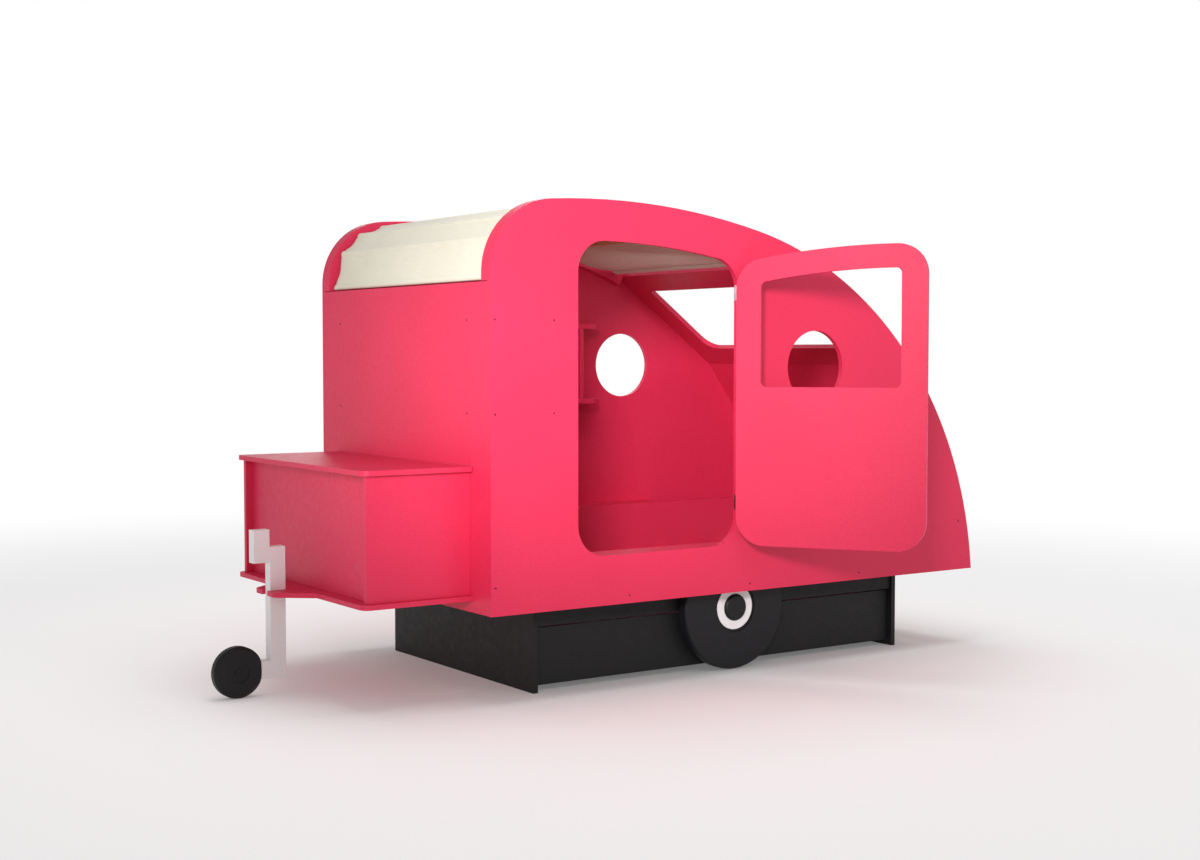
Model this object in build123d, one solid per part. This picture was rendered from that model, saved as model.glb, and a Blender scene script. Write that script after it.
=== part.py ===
from build123d import *

import os
from dataclasses import dataclass
from math import acos, asin, cos, degrees, radians, sin, sqrt

# Child's bed in the form of a small caravan. Millimetres, +Z up, +X to the rounded tail,
# -Y the side with the door. Shapes are drawn from the front panel's face (X = 0), the centre
# plane (Y = 0) and the floor (Z = 0), and every piece is moved at the end so that the origin
# is on the floor under the middle of the front foot.

# Boards, clearances, and the least length that counts as apart
BOARD = 19.0
APART = 1e-6
GAP = 2.0
REST_GAP = 0.3
RUN_GAP = 3.0
JOINT_GAP = 0.5
TURN_GAP = 0.05

# Body: the inside width suits a mattress 900 wide with a ledge on each side
MATTRESS_SPACE = 910.0
LEDGE_WIDTH = 100.0
BODY_Z = 281.2
FRONT_BEND_Z = 1330.8
BEND_FRONT_R = 233.0
BEND_FRONT_TURN = 85.74
BEND_TOP_R = 2712.7
BEND_TOP_TURN = 17.72
BEND_TAIL_R = 1357.0
FRONT_PANEL_TOP = 1304.5

RAIL_IN = MATTRESS_SPACE / 2
RAIL_OUT = RAIL_IN + BOARD
SIDE_IN = RAIL_OUT + LEDGE_WIDTH
SIDE_OUT = SIDE_IN + BOARD

# Door opening and door
DOOR_X = 318.6
DOOR_WIDTH = 640.0
DOOR_SILL = 441.4
DOOR_INSET = 130.0
DOOR_CORNER = 100.0
DOOR_OPEN = 124.5
DOOR_WINDOW_SIDE = 84.0
DOOR_WINDOW_SILL = 973.5
DOOR_WINDOW_TOP = 77.0
DOOR_WINDOW_CORNER = 20.0
PORTHOLE_X = 1306.0
PORTHOLE_Z = 1037.0
PORTHOLE_R = 126.0

# Butt hinges
HINGE_LENGTH = 50.0
HINGE_LEAF = 1.6
HINGE_LEAF_WIDTH = 16.0
HINGE_LEAF_GAP = 0.4
KNUCKLES = 3
KNUCKLE_R = 3.0
KNUCKLE_SIDES = 12
PIN_R = 1.5
KNUCKLE_GAP = 0.3
DOOR_HINGE_Z = (585.0, 1287.0)
LID_HINGE_Y = (-330.0, 330.0)

# Roof: two ribs, rods between them and a canvas
RIB_THICK = 38.0
RIB_DEPTH = 60.0
ROD_R = 12.5
ROD_INSET = 30.0
FRONT_ROD_STEP = 26.2
FRONT_ROD_LAST = 96.2
ROOF_ROD_X = (563.0, 915.0)
HEM_ROD_R = 5.0
HEM_INSET = 23.0
HEM_FRONT_Z = 1316.0
HEM_REAR_X = 1252.0
CANVAS_THICK = 2.0
CANVAS_SIDE_GAP = 6.0
SAG_FRONT = 7.0
SAG_ROOF = 26.0

# Rear window panel and tail boards
WINDOW_TOP_ANGLE = 65.5
WINDOW_FOOT_ANGLE = 40.5
WINDOW_PANEL_INSET = 3.0
WINDOW_HEIGHT = 377.0
WINDOW_WIDTH = 928.0
WINDOW_FOOT_CORNER = 60.0
WINDOW_TOP_CORNER = 20.0
TAIL_BOARDS = 4

# Shelves
SHELF_LOW_Z = 899.3
SHELF_HIGH_Z = 1188.0
SHELF_DEPTH = 150.0
SHELF_FAR_END = 1123.0
SHELF_NEAR_END = 253.0
SHELF_CORNER = 70.0
DIVIDER_X = 1003.0

# Bed box
LEDGE_NEAR_TOP = 437.0
LEDGE_FAR_TOP = 486.0
LEDGE_END = 1440.0
CLEAT_HEIGHT = 12.0
CLEAT_DEPTH = 20.0
SLAT_THICK = 8.0
SLAT_WIDTH = 70.0
SLAT_COUNT = 14
SLAT_END_GAP = 2.0
SPACER_HEIGHT = 50.0
SPACER_FIRST = 516.9
SPACER_STEP = 500.0
SPACER_COUNT = 3

# Base with its drawer
FOOT_FRONT_X = 224.0
FOOT_REAR_X = 1793.0
FOOT_HALF = 474.5
BASE_RAIL_RECESS = 9.0
BASE_RAIL_Z = 212.0
PLINTH_RECESS = 23.5
PLINTH_Z = 20.0
PLINTH_TOP = 206.0
DRAWER_WALL = 16.0
DRAWER_WALL_TOP = 190.0
DRAWER_BOTTOM = 12.0
CASTOR_R = 22.0
CASTOR_WIDTH = 18.0
CASTOR_HEIGHT = 48.0
CASTOR_AXLE_R = 3.0
CASTOR_SIDE_GAP = 0.5
CASTOR_CHEEK = 2.5
CASTOR_CHEEK_FOOT = 14.0
CASTOR_SIDES = 28
CASTOR_PLATE = 44.0
CASTOR_SETBACK = 90.0

# Side wheels
WHEEL_X = 1018.0
WHEEL_Z = 214.5
WHEEL_R = 213.0
WHEEL_THICK = 38.0
WHEEL_EDGE = 9.0
WHEEL_TOP = 278.0
WHEEL_RECESS_R = 86.0
WHEEL_RECESS = 5.0
RING_OUT_R = 76.0
RING_IN_R = 46.0
RING_THICK = 4.0
HUB_R = 45.0
HUB_LENGTH = 14.0
HUB_SIDES = 48
HUB_EDGE = 5.0
WHEEL_BLOCK_WIDTH = 180.0
WHEEL_BLOCK_HEIGHT = 120.0

# Tool box, tongue and jockey wheel
BOX_FRONT_X = -377.0
BOX_HALF = 485.0
BOX_PLATE_Z = 318.0
BOX_PLATE = 16.0
BOX_LID_Z = 720.0
BOX_CORNER = 30.0
BOX_SIDE_SETBACK = 19.0
BOX_SIDE_INSET = 18.0
BOX_FRONT_RECESS = 25.0
LID_EDGE_GAP = 1.0
TONGUE_ROOT_HALF = 158.0
TONGUE_TIP_HALF = 72.0
TONGUE_REACH = 107.0
TONGUE_CORNER = 28.0
SLOT_GAP = 1.0
POST_THICK = 38.0
POST_X = -420.0
POST_DEPTH = 53.0
POST_FOOT_Z = 54.0
POST_TOP = 473.0
HITCH_DEPTH = 54.0
HITCH_Z = 423.0
HITCH_TOP = 528.0
POST_TOE_DEPTH = 31.0
POST_TOE_TOP = 111.0
POST_EDGE = 1.0
JOCKEY_R = 82.0
JOCKEY_THICK = 41.0
JOCKEY_SETBACK = 74.0
JOCKEY_EDGE = 9.0
JOCKEY_RING_R = 32.0
JOCKEY_SIDES = 40
JOCKEY_HUB_R = 14.0
JOCKEY_RELIEF = 2.5

# Screws in the side and front panels
SCREW_R = 2.5
SCREW_SIDES = 6
SCREW_HEAD = 3.0
SCREW_GAP = 0.1
SCREW_PANEL_X = (15.5, 229.3)
SCREW_LOW_Z = 368.6
SCREW_TAIL_ANGLE = 12.54
SCREW_TAIL_INSET = 42.6
SCREW_FRONT_Y = 448.0

ORIGIN_X = FOOT_FRONT_X + BOARD / 2
UP = 2000.0


@dataclass(frozen=True)
class Bend:
    """One arc of the side outline, its normal angles falling from start to end (degrees)."""

    x: float
    z: float
    r: float
    start: float
    end: float

    def point(self, angle, inset=0.0):
        reach = self.r - inset
        return (self.x + reach * cos(radians(angle)), self.z + reach * sin(radians(angle)))


def outline_bends():
    """Front, top and tail arcs, each tangent to the one before it."""
    front = Bend(BEND_FRONT_R, FRONT_BEND_Z, BEND_FRONT_R, 180.0, 180.0 - BEND_FRONT_TURN)
    top = next_bend(front, BEND_TOP_R, front.end - BEND_TOP_TURN)
    tail = next_bend(top, BEND_TAIL_R, 0.0)
    foot = degrees(asin((BODY_Z - tail.z) / tail.r))
    return front, top, Bend(tail.x, tail.z, tail.r, tail.start, foot)


def next_bend(last, r, end):
    shift = last.r - r
    return Bend(
        last.x + shift * cos(radians(last.end)), last.z + shift * sin(radians(last.end)), r, last.end, end
    )


BENDS = outline_bends()
TAIL_BEND = BENDS[-1]


def roof_point(angle, inset=0.0):
    """Point of the outline, moved in by inset, where its normal has this angle."""
    for bend in BENDS:
        if angle >= bend.end:
            return bend.point(angle, inset)
    return BENDS[-1].point(angle, inset)


def roof_angle_at(x, inset):
    """Normal angle where the outline, moved in by inset, has this X."""
    for bend in BENDS:
        angle = degrees(acos(max(-1.0, min(1.0, (x - bend.x) / (bend.r - inset)))))
        if bend.end <= angle <= bend.start:
            return angle
    return BENDS[-1].end


def arc_edges(start, end, inset):
    """Edges of the outline, moved in by inset, from one normal angle down to another."""
    edges = []
    for bend in BENDS:
        first, last = min(start, bend.start), max(end, bend.end)
        if first - last > APART:
            middle = (first + last) / 2
            edges.append(
                ThreePointArc(bend.point(first, inset), bend.point(middle, inset), bend.point(last, inset))
            )
    return edges


def loop(points_or_edges):
    """Face from a list of edges that run head to tail, closed by a straight line."""
    edges = list(points_or_edges)
    first, last = edges[0] @ 0, edges[-1] @ 1
    if (first - last).length > APART:
        edges.append(Line(last, first))
    return make_face(Wire(edges))


def body_face(inset):
    """Side outline moved in by inset, open to below the body's lower edge."""
    arcs = arc_edges(180.0, TAIL_BEND.end, inset)
    tip = arcs[-1] @ 1
    top = arcs[0] @ 0
    foot = Line(tip, (tip.X, BODY_Z)) if tip.Y - BODY_Z > APART else None
    edges = [Line((inset, BODY_Z), top)] + arcs + ([foot] if foot else [])
    return loop(edges)


def box_face(x_low, x_high, z_low, z_high):
    return Pos((x_low + x_high) / 2, (z_low + z_high) / 2) * Rectangle(x_high - x_low, z_high - z_low)


def round_corners(face, r):
    """Round every corner, also where an edge beside it is shorter than the radius."""
    return offset(offset(face, -r), r)


def prism(r, sides, length):
    """Upright prism of many sides about the origin, for small pieces that repeat."""
    return extrude(RegularPolygon(r, sides), length / 2, both=True)


def plank(face, y_low, y_high):
    """Solid from a face drawn in X and Z, filling Y from y_low to y_high."""
    return extrude(Plane.XZ.offset(-y_high) * face, y_high - y_low)


def block(x_low, x_high, y_low, y_high, z_low, z_high):
    size = (x_high - x_low, y_high - y_low, z_high - z_low)
    middle = Pos((x_low + x_high) / 2, (y_low + y_high) / 2, (z_low + z_high) / 2)
    return middle * Box(*size)


def mirrored(solid):
    """The same piece on the other side of the centre plane."""
    return mirror(solid, Plane.XZ)


def door_shape(gap):
    """Door opening's outline, moved in by gap."""
    left, right = DOOR_X + gap, DOOR_X + DOOR_WIDTH - gap
    face = body_face(DOOR_INSET + gap) & box_face(left, right, DOOR_SILL + gap, UP)
    return round_corners(face, DOOR_CORNER - gap)


def door_window_shape():
    left = DOOR_X + GAP + DOOR_WINDOW_SIDE
    right = DOOR_X + DOOR_WIDTH - GAP - DOOR_WINDOW_SIDE
    inset = DOOR_INSET + GAP + DOOR_WINDOW_TOP
    face = body_face(inset) & box_face(left, right, DOOR_WINDOW_SILL, UP)
    return round_corners(face, DOOR_WINDOW_CORNER)


HINGE_X = DOOR_X + DOOR_WIDTH - GAP / 2
HINGE_Y = -SIDE_OUT - KNUCKLE_R - REST_GAP / 2
DOOR_LEAF_REACH = HINGE_LEAF_WIDTH + KNUCKLE_R
DOOR_LEAF_OUT = HINGE_LEAF_GAP / 2 + HINGE_LEAF
LID_TOP = BOX_LID_Z + BOX_PLATE
LID_HINGE_X = -KNUCKLE_R - REST_GAP
LID_HINGE_Z = LID_TOP - KNUCKLE_R
LID_LEAF_REACH = BOX_PLATE - KNUCKLE_R - REST_GAP
LID_REAR_X = LID_HINGE_X - LID_EDGE_GAP


def leaf_block(side, out, reach):
    """Flat of a leaf whose outer face lies out from the pin; side 1 is +X, -1 is -X."""
    x_low, x_high = (out - HINGE_LEAF, out) if side > 0 else (-out, HINGE_LEAF - out)
    half = HINGE_LENGTH / 2
    return block(x_low, x_high, 0.0, reach, -half, half)


def hinge_leaf(side, spans, out, reach):
    """One leaf of a butt hinge about Z with its knuckles; the flat reaches to +Y."""
    flat = leaf_block(side, out, reach)
    clear = KNUCKLE_R + KNUCKLE_GAP
    leaf = flat - block(-UP, UP, 0.0, clear, -UP, UP)
    for low, high in spans:
        root = flat & block(-UP, UP, 0.0, clear + HINGE_LEAF, low, high)
        leaf += root + Pos(0, 0, (low + high) / 2) * prism(KNUCKLE_R, KNUCKLE_SIDES, high - low)
    return leaf - hinge_bore()


def hinge_spans():
    """Knuckle spans: the outer pair for the fixed leaf, the middle one for the moving leaf."""
    middle = HINGE_LENGTH / KNUCKLES / 2
    end = HINGE_LENGTH / 2
    fixed = [(-end, -middle - KNUCKLE_GAP / 2), (middle + KNUCKLE_GAP / 2, end)]
    moving = [(-middle + KNUCKLE_GAP / 2, middle - KNUCKLE_GAP / 2)]
    return fixed, moving


def door_leaves():
    """Fixed and moving leaf of a door hinge."""
    fixed, moving = hinge_spans()
    frame_leaf = hinge_leaf(1, fixed, DOOR_LEAF_OUT, DOOR_LEAF_REACH)
    return frame_leaf, hinge_leaf(-1, moving, DOOR_LEAF_OUT, DOOR_LEAF_REACH)


def lid_leaves():
    """Fixed and moving leaf of a lid hinge; the fixed one lies on the front panel."""
    fixed, moving = hinge_spans()
    frame_leaf = hinge_leaf(1, fixed, -LID_HINGE_X, HINGE_LEAF_WIDTH)
    return frame_leaf, hinge_leaf(-1, moving, DOOR_LEAF_OUT, LID_LEAF_REACH)


def hinge_pin():
    return Cylinder(PIN_R, HINGE_LENGTH)


def hinge_bore():
    return Cylinder(PIN_R + TURN_GAP, HINGE_LENGTH)


def door_hinge_places():
    return [Pos(HINGE_X, HINGE_Y, z) for z in DOOR_HINGE_Z]


def lid_hinge_places():
    """Hinge frames turned so that the pin runs along Y and the leaves hang down."""
    turned = Location(Plane(origin=(0, 0, 0), x_dir=(1, 0, 0), z_dir=(0, 1, 0)))
    return [Pos(LID_HINGE_X, y, LID_HINGE_Z) * turned for y in LID_HINGE_Y]


def placed(places, piece):
    return [place * piece for place in places]


def spacer_places():
    return [SPACER_FIRST + i * SPACER_STEP for i in range(SPACER_COUNT)]


def screw_holes_side():
    """X and Z of the screws in a side panel."""
    shelf_screws = [(x, z) for x in SCREW_PANEL_X for z in (SHELF_LOW_Z, SHELF_HIGH_Z)]
    spacer_screws = [(x, BODY_Z + SPACER_HEIGHT / 2) for x in spacer_places()]
    tail_screw = TAIL_BEND.point(SCREW_TAIL_ANGLE, SCREW_TAIL_INSET)
    return shelf_screws + [(SCREW_PANEL_X[0], SCREW_LOW_Z), tail_screw] + spacer_screws


def screws(r):
    """Screw heads sunk flush in both side panels and the front panel."""
    head = prism(r, SCREW_SIDES, SCREW_HEAD)
    pegs = []
    for x, z in screw_holes_side():
        peg = Pos(x, 0, z) * Rot(90, 0, 0) * head
        out = SIDE_OUT - SCREW_HEAD / 2
        pegs += [Pos(0, -out, 0) * peg, Pos(0, out, 0) * peg]
    for y in (-SCREW_FRONT_Y, SCREW_FRONT_Y):
        for z in (SHELF_LOW_Z, SHELF_HIGH_Z):
            pegs.append(Pos(SCREW_HEAD / 2, y, z) * Rot(0, 90, 0) * head)
    return pegs


def screw_cuts():
    return screws(SCREW_R + SCREW_GAP)


def side_panel(with_door):
    face = body_face(0.0)
    face -= Pos(PORTHOLE_X, PORTHOLE_Z) * Circle(PORTHOLE_R)
    if with_door:
        face -= door_shape(0.0)
    panel = plank(face, -SIDE_OUT, -SIDE_IN)
    if with_door:
        for place in door_hinge_places():
            panel -= place * leaf_block(1, DOOR_LEAF_OUT, DOOR_LEAF_REACH)
    else:
        panel = mirrored(panel)
    return panel - screw_cuts()


def front_panel():
    return block(0, BOARD, -SIDE_IN, SIDE_IN, BODY_Z, FRONT_PANEL_TOP) - screw_cuts()


def radial(distance, angle, around):
    """Point at a distance from the tail bend's centre."""
    return (
        TAIL_BEND.x + distance * cos(radians(angle)) / cos(radians(around)),
        TAIL_BEND.z + distance * sin(radians(angle)) / cos(radians(around)),
    )


def chord_profile(top_angle, foot_angle, inset):
    """Flat board between two radial cuts, its outer corners inset from the outline."""
    half = (top_angle - foot_angle) / 2
    out = (TAIL_BEND.r - inset) * cos(radians(half))
    trim = degrees(JOINT_GAP / 2 / TAIL_BEND.r)
    top, foot = top_angle - trim, foot_angle + trim
    corners = [
        radial(out, top, half),
        radial(out, foot, half),
        radial(out - BOARD, foot, half),
        radial(out - BOARD, top, half),
    ]
    return make_face(Polyline(*corners, close=True))


def tail_angles():
    step = (WINDOW_FOOT_ANGLE - TAIL_BEND.end) / TAIL_BOARDS
    return [WINDOW_FOOT_ANGLE - i * step for i in range(TAIL_BOARDS + 1)]


def tail_board(index):
    angles = tail_angles()
    profile = chord_profile(angles[index], angles[index + 1], 0.0)
    profile &= box_face(0, 2 * UP, BODY_Z, UP)
    return plank(profile, -SIDE_IN, SIDE_IN)


def window_panel_plane():
    """Plane in the middle of the window panel's inner face, +Z out and +X across the bed."""
    middle = (WINDOW_TOP_ANGLE + WINDOW_FOOT_ANGLE) / 2
    half = (WINDOW_TOP_ANGLE - WINDOW_FOOT_ANGLE) / 2
    inner = (TAIL_BEND.r - WINDOW_PANEL_INSET) * cos(radians(half)) - BOARD
    normal = (cos(radians(middle)), 0, sin(radians(middle)))
    origin = (TAIL_BEND.x + inner * normal[0], 0, TAIL_BEND.z + inner * normal[2])
    return Plane(origin=origin, x_dir=(0, 1, 0), z_dir=normal)


def rear_window_panel():
    profile = chord_profile(WINDOW_TOP_ANGLE, WINDOW_FOOT_ANGLE, WINDOW_PANEL_INSET)
    panel = plank(profile, -SIDE_IN, SIDE_IN)
    hole = Rectangle(WINDOW_WIDTH, WINDOW_HEIGHT)
    hole = fillet(hole.vertices().sort_by(Axis.Y)[:2], WINDOW_FOOT_CORNER)
    hole = fillet(hole.vertices().sort_by(Axis.Y)[-2:], WINDOW_TOP_CORNER)
    plane = window_panel_plane()
    return panel - extrude(plane * hole, BOARD * 2, both=True)


def inner_profile():
    """Inside of the cabin in X and Z: front panel, body's lower edge and tail boards."""
    angles = tail_angles()
    half = (angles[0] - angles[1]) / 2
    reach = TAIL_BEND.r * cos(radians(half)) - BOARD
    corners = [radial(reach, angle, half) for angle in angles]
    tail = [(BOARD, UP), (corners[0][0], UP)] + corners
    below = [(corners[-1][0], 0.0), (BOARD, 0.0)]
    return make_face(Polyline(*tail, *below, close=True))


def long_board(x_low, x_high, z_low, z_high, y_low, y_high):
    """Board along the body, its end cut to the tail's inner faces."""
    face = box_face(x_low, x_high, z_low, z_high) & inner_profile()
    return plank(face, y_low, y_high)


def bed_rail(top):
    return long_board(BOARD, UP * 2, BODY_Z, top, -RAIL_OUT, -RAIL_IN)


def bed_ledge(top):
    return block(BOARD, LEDGE_END, -SIDE_IN, -RAIL_OUT, top - BOARD, top)


def slat_cleats():
    cleat = long_board(BOARD, UP * 2, BODY_Z, BODY_Z + CLEAT_HEIGHT, -RAIL_IN, -RAIL_IN + CLEAT_DEPTH)
    return [cleat, mirrored(cleat)]


def bed_slats():
    """Thin slats across the cleats, spread evenly over the length inside the body."""
    low = BODY_Z + CLEAT_HEIGHT
    angles = tail_angles()
    half = (angles[0] - angles[1]) / 2
    end = radial(TAIL_BEND.r * cos(radians(half)) - BOARD, angles[-1], half)[0] - RUN_GAP * 2
    first, last = BOARD + RUN_GAP * 2, end - SLAT_WIDTH
    step = (last - first) / (SLAT_COUNT - 1)
    reach = RAIL_IN - SLAT_END_GAP
    return [
        block(first + i * step, first + i * step + SLAT_WIDTH, -reach, reach, low, low + SLAT_THICK)
        for i in range(SLAT_COUNT)
    ]


def side_spacers():
    pieces = []
    for x in spacer_places():
        piece = block(
            x - BOARD / 2, x + BOARD / 2, -SIDE_IN, -RAIL_OUT, BODY_Z, BODY_Z + SPACER_HEIGHT
        )
        pieces += [piece, mirrored(piece)]
    return pieces


def rib():
    """Band along the roof on the side panel's inner face."""
    foot = FRONT_PANEL_TOP + GAP
    outer = arc_edges(180.0, WINDOW_TOP_ANGLE, 0.0)
    inner = arc_edges(180.0, WINDOW_TOP_ANGLE, RIB_DEPTH)
    back = [Edge.reversed(edge) for edge in reversed(inner)]
    edges = [Line((0, foot), outer[0] @ 0)] + outer
    edges += [Line(outer[-1] @ 1, inner[-1] @ 1)] + back
    edges += [Line(inner[0] @ 0, (RIB_DEPTH, foot))]
    return plank(loop(edges), -SIDE_IN, -SIDE_IN + RIB_THICK)


def rod_places():
    """X and Z of the rods' centres, from the front of the roof to its rear."""
    places = [roof_point(angle, ROD_INSET) for angle in front_rod_angles()]
    places += [roof_point(roof_angle_at(x, ROD_INSET), ROD_INSET) for x in ROOF_ROD_X]
    return places


def front_rod_angles():
    return [FRONT_ROD_LAST + FRONT_ROD_STEP * i for i in (2, 1, 0)]


def hem_places():
    front = (HEM_INSET, HEM_FRONT_Z)
    rear = roof_point(roof_angle_at(HEM_REAR_X, HEM_INSET), HEM_INSET)
    return front, rear


def rod_at(place, r):
    length = 2 * (SIDE_IN - RIB_THICK)
    return Pos(place[0], 0, place[1]) * Rot(90, 0, 0) * Cylinder(r, length)


def roof_rods():
    rods = [rod_at(place, ROD_R) for place in rod_places()]
    return rods + [rod_at(place, HEM_ROD_R) for place in hem_places()]


def canvas_spans():
    """Centre, rod radius and sag for the canvas, from the front hem to the rear one."""
    front, rear = hem_places()
    rods = [(place, ROD_R) for place in rod_places()]
    stops = [(front, HEM_ROD_R)] + rods + [(rear, HEM_ROD_R)]
    spans = []
    for (a, ra), (b, rb) in zip(stops, stops[1:]):
        width = sqrt((a[0] - b[0]) ** 2 + (a[1] - b[1]) ** 2)
        sag = SAG_ROOF if width > BEND_FRONT_R else SAG_FRONT
        spans.append((a, ra + REST_GAP, b, rb + REST_GAP, sag))
    return spans


def sag_centre(a, ra, b, rb, sag):
    """Centre and inner radius of the hollow arc that leans on rod a and rod b from outside."""
    dx, dz = b[0] - a[0], b[1] - a[1]
    width = sqrt(dx * dx + dz * dz)
    mean = (ra + rb) / 2
    r = (width * width / 4 + sag * sag) / (2 * sag) - mean
    da, db = r + ra, r + rb
    along = (da * da - db * db + width * width) / (2 * width)
    off = sqrt(da * da - along * along)
    ux, uz = dx / width, dz / width
    return (a[0] + ux * along - uz * off, a[1] + uz * along + ux * off), r


def toward(centre, target, distance):
    dx, dz = target[0] - centre[0], target[1] - centre[1]
    length = sqrt(dx * dx + dz * dz)
    return (centre[0] + dx / length * distance, centre[1] + dz / length * distance)


def arc_between(centre, r, start, end, outward):
    """Arc round centre from start to end that bulges the way outward points."""
    middle = toward(centre, outward, r)
    return ThreePointArc(start, middle, end)


def middle_of(p, q):
    return ((p[0] + q[0]) / 2, (p[1] + q[1]) / 2)


def canvas_arcs(offset):
    """Arcs of the canvas, offset out from its inner surface, hem to hem."""
    spans = canvas_spans()
    hollows = [sag_centre(*span) for span in spans]
    edges = []
    for i, (span, (centre, r)) in enumerate(zip(spans, hollows)):
        a, ra, b, rb, _ = span
        start = toward(centre, a, r - offset)
        end = toward(centre, b, r - offset)
        edges.append(arc_between(centre, r - offset, start, end, middle_of(a, b)))
        if i + 1 < len(spans):
            next_centre, next_r = hollows[i + 1]
            leave = toward(next_centre, b, next_r - offset)
            bulge = middle_of(end, leave)
            edges.append(arc_between(b, rb + offset, end, leave, bulge))
    return edges


def canvas_hem(place):
    """Sleeve of canvas round a hem rod."""
    inner = HEM_ROD_R + REST_GAP
    sleeve = Circle(inner + CANVAS_THICK) - Circle(inner)
    return Pos(*place) * sleeve


def roof_canvas():
    outer = canvas_arcs(CANVAS_THICK)
    inner = canvas_arcs(0.0)
    back = [Edge.reversed(edge) for edge in reversed(inner)]
    edges = outer + [Line(outer[-1] @ 1, inner[-1] @ 1)] + back
    sheet = loop(edges)
    for place in hem_places():
        sheet += canvas_hem(place)
    half = SIDE_IN - RIB_THICK - CANVAS_SIDE_GAP
    return plank(sheet, -half, half)


def shelf(x_end, centre_z):
    """Shelf on the near side panel with its free corner rounded."""
    board = block(BOARD, x_end, -SIDE_IN, -SIDE_IN + SHELF_DEPTH, centre_z - BOARD / 2, centre_z + BOARD / 2)
    corner = board.edges().filter_by(Axis.Z).sort_by(Axis.X)[-2:].sort_by(Axis.Y)[-1]
    return fillet(corner, SHELF_CORNER)


def shelf_divider():
    low, high = SHELF_LOW_Z + BOARD / 2, SHELF_HIGH_Z - BOARD / 2
    return block(DIVIDER_X, DIVIDER_X + BOARD, SIDE_IN - SHELF_DEPTH, SIDE_IN, low, high)


def base_end(x):
    return block(x, x + BOARD, -FOOT_HALF, FOOT_HALF, 0, BODY_Z)


def base_board(recess, z_low, z_high, side_gap):
    x_low, x_high = FOOT_FRONT_X + BOARD + side_gap, FOOT_REAR_X - side_gap
    out = -FOOT_HALF + recess
    return block(x_low, x_high, out, out + BOARD, z_low, z_high)


def base_rail():
    return base_board(BASE_RAIL_RECESS, BASE_RAIL_Z, BODY_Z, 0.0)


def plinth(side_gap):
    return base_board(PLINTH_RECESS, PLINTH_Z, PLINTH_TOP, side_gap)


PLINTH_IN = FOOT_HALF - PLINTH_RECESS - BOARD
DRAWER_LOW_X = FOOT_FRONT_X + BOARD + RUN_GAP
DRAWER_HIGH_X = FOOT_REAR_X - RUN_GAP
DRAWER_BACK_Y = PLINTH_IN - REST_GAP


def drawer_sides():
    low = CASTOR_HEIGHT
    back = DRAWER_BACK_Y - DRAWER_WALL
    return [
        block(x, x + DRAWER_WALL, -PLINTH_IN, back, low, DRAWER_WALL_TOP)
        for x in (DRAWER_LOW_X, DRAWER_HIGH_X - DRAWER_WALL)
    ]


def drawer_back():
    face_y = DRAWER_BACK_Y - DRAWER_WALL
    return block(DRAWER_LOW_X, DRAWER_HIGH_X, face_y, DRAWER_BACK_Y, CASTOR_HEIGHT, DRAWER_WALL_TOP)


def drawer_bottom():
    return block(
        DRAWER_LOW_X + DRAWER_WALL,
        DRAWER_HIGH_X - DRAWER_WALL,
        -PLINTH_IN,
        DRAWER_BACK_Y - DRAWER_WALL,
        CASTOR_HEIGHT,
        CASTOR_HEIGHT + DRAWER_BOTTOM,
    )


def castor_places():
    return [
        Pos(x, y, CASTOR_R)
        for x in (DRAWER_LOW_X + CASTOR_SETBACK, DRAWER_HIGH_X - CASTOR_SETBACK)
        for y in (-PLINTH_IN + CASTOR_SETBACK, DRAWER_BACK_Y - CASTOR_SETBACK)
    ]


def castor_fork():
    """Plate, two cheeks and the axle, about the axle's centre."""
    half = CASTOR_WIDTH / 2 + CASTOR_SIDE_GAP
    top = CASTOR_HEIGHT - CASTOR_R
    foot, root = CASTOR_CHEEK_FOOT / 2, CASTOR_PLATE / 2
    plate = block(-root, root, -root, root, top - CASTOR_CHEEK, top)
    corners = [(-foot, -foot), (foot, -foot), (root, top - CASTOR_CHEEK), (-root, top - CASTOR_CHEEK)]
    face = make_face(Polyline(*corners, close=True))
    cheek = extrude(Plane.YZ.offset(half) * face, CASTOR_CHEEK)
    axle = Rot(0, 90, 0) * Cylinder(CASTOR_AXLE_R, 2 * (half + CASTOR_CHEEK))
    return plate + cheek + mirror(cheek, Plane.YZ) + axle


def castor_roller():
    bore = Cylinder(CASTOR_AXLE_R + TURN_GAP, CASTOR_WIDTH)
    return Rot(0, 90, 0) * (prism(CASTOR_R, CASTOR_SIDES, CASTOR_WIDTH) - bore)


WHEEL_BACK_Y = -FOOT_HALF
WHEEL_FACE_Y = WHEEL_BACK_Y - WHEEL_THICK


def facing_near(solid, y):
    """Turn a piece made along +Z so that its top faces the near side, its base at y."""
    return Pos(WHEEL_X, y, WHEEL_Z) * Rot(90, 0, 0) * solid


def rounded_disc(r, thick, edge):
    """Disc standing on Z = 0 whose upper rim is eased in two flats."""
    disc = Pos(0, 0, thick / 2) * Cylinder(r, thick)
    disc = chamfer(disc.edges().filter_by(GeomType.CIRCLE).sort_by(Axis.Z)[-1], edge, edge / 2)
    return chamfer(disc.edges().filter_by(GeomType.CIRCLE).sort_by(Axis.Z)[-1], edge / 4)


def wheel_tyre():
    """Solid wheel with a rounded rim and a shallow dish, cut flat under the body."""
    dish = Pos(0, 0, WHEEL_THICK) * Cylinder(WHEEL_RECESS_R, 2 * WHEEL_RECESS)
    tyre = facing_near(rounded_disc(WHEEL_R, WHEEL_THICK, WHEEL_EDGE) - dish, WHEEL_BACK_Y)
    keep = block(WHEEL_X - UP, WHEEL_X + UP, -UP, 0, -UP, WHEEL_TOP)
    return tyre & keep


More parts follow.
